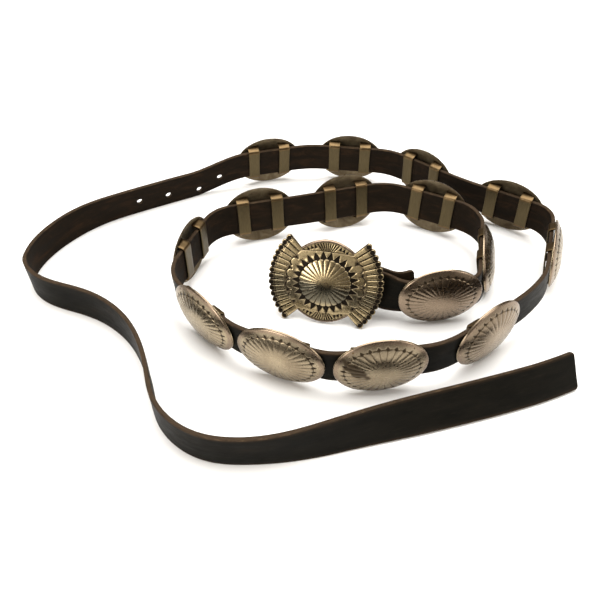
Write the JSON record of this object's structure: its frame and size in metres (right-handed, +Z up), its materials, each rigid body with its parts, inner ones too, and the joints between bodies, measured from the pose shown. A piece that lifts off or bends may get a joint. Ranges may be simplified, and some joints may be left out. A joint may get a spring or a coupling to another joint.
{
  "type": "concho belt",
  "caption": "Leather belt strap lying wound on its edge, threaded with domed oval metal conchos and folded round the back of a fluted fan-shaped buckle with a hook.",
  "frame": {"origin": "middle of the belt's box on the table it lies on", "axes": "+X to the right of the picture along the longest side of the laid belt, +Y away from the camera, +Z up"},
  "size_m": [0.3106, 0.2478, 0.0446],
  "materials": {
    "leather": "near-black dyed strap leather, soft sheen, tan raw edges, reddish brown flesh side",
    "silver": "worn stamped silver with dark brown patina in the recesses; copper-coloured strips on the conchos' backs"
  },
  "bodies": {
    "root": {"strap": "leather", "concho_01": "silver", "concho_02": "silver", "concho_03": "silver", "concho_04": "silver", "concho_05": "silver", "concho_06": "silver", "concho_07": "silver", "concho_08": "silver", "concho_09": "silver", "concho_10": "silver", "concho_11": "silver", "concho_12": "silver", "concho_13": "silver", "concho_14": "silver", "concho_15": "silver", "buckle": "silver"}
  },
  "joints": []
}
